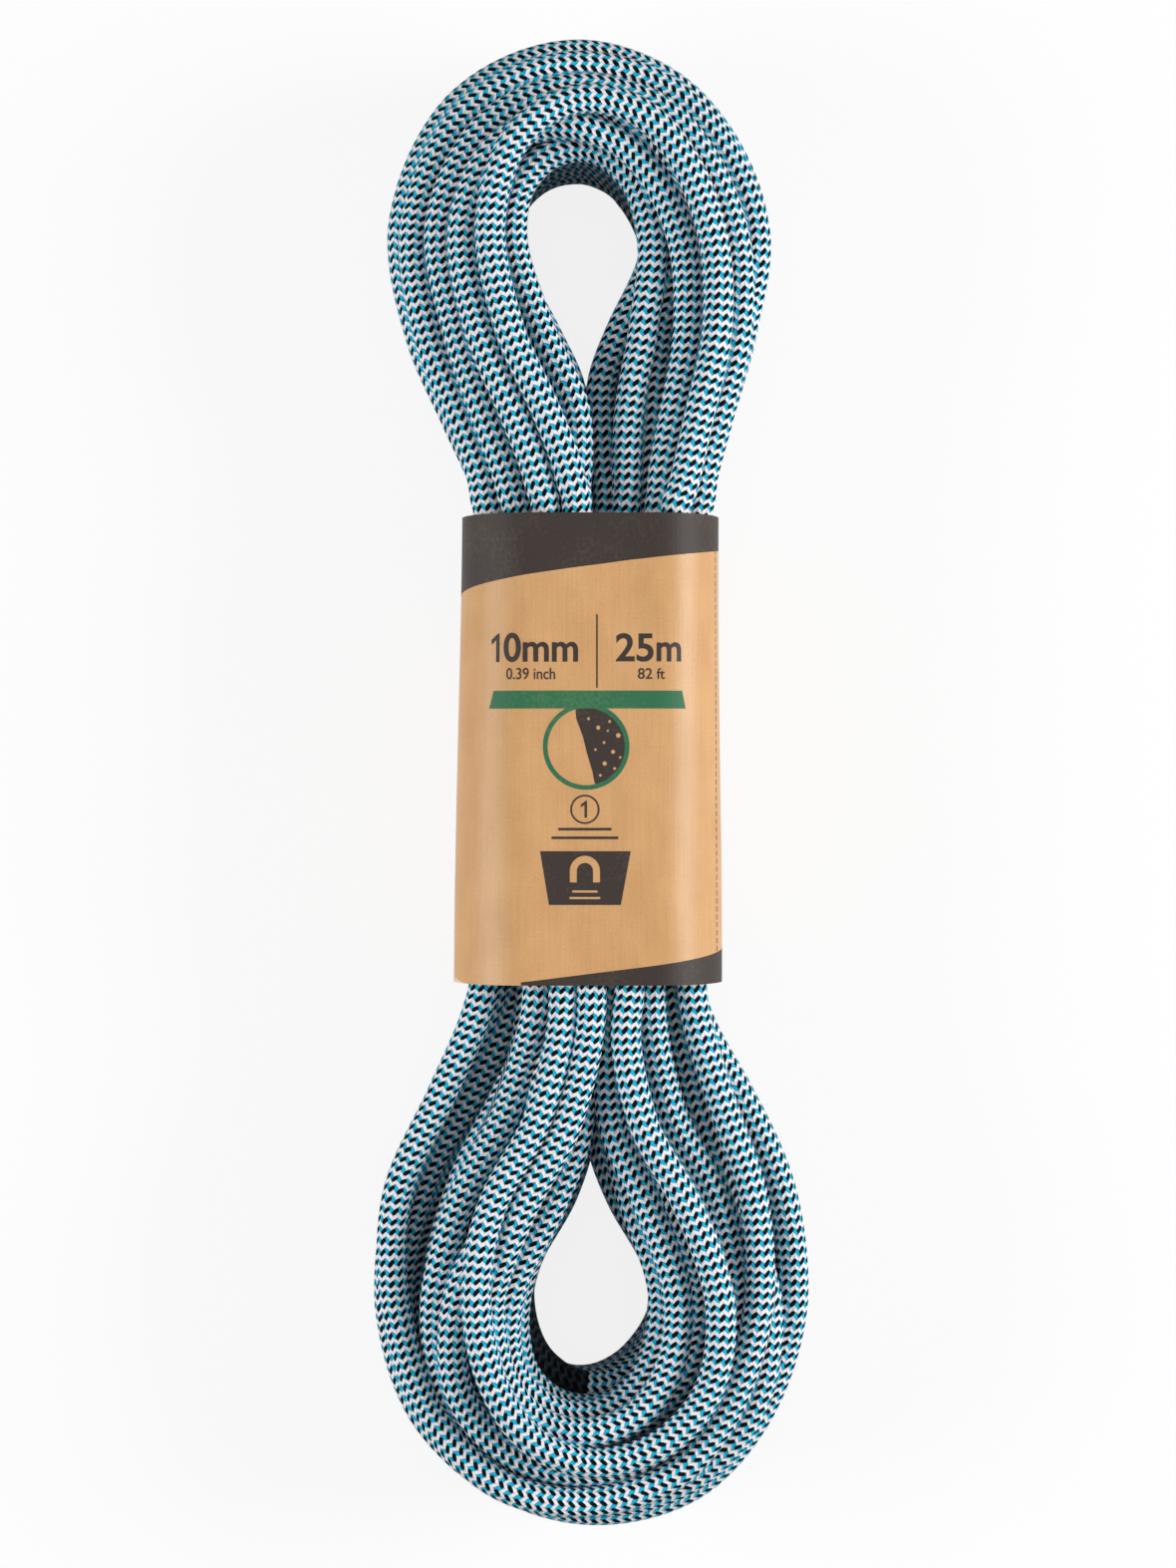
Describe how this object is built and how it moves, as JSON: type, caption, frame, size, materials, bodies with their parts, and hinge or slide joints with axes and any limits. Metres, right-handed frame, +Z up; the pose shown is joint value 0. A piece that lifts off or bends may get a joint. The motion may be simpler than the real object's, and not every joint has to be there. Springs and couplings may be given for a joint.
{
  "type": "climbing rope",
  "caption": "Dynamic climbing rope laid up as a shop hank, its waist drawn in by a card sleeve that slides along it.",
  "frame": {"origin": "centre of the hank's bounding box, on the ground it lies on", "axes": "+Z up through the front of the hank, +Y along it to the upper loops, +X to its right"},
  "size_m": [0.143, 0.4972, 0.0888],
  "materials": {
    "rope": "matte",
    "core": "matte",
    "band": "gloss",
    "melted_tip": "satin",
    "kraft_card": "matte",
    "glue": "satin"
  },
  "bodies": {
    "rope": {"rope_hank": "rope", "sheath_end_a": "rope", "sheath_end_b": "rope", "core_end_a": "core", "core_end_b": "core", "end_band_a": "band", "end_band_b": "band", "end_seal_a": "melted_tip", "end_seal_b": "melted_tip"},
    "sleeve": {"kraft_sleeve": "kraft_card", "sleeve_glue": "glue"}
  },
  "joints": [
    {"name": "sleeve_slide", "type": "slide", "parent": "rope", "child": "sleeve", "axis": [0, 1, 0], "range_m": [-0.0035, 0.0035]}
  ]
}
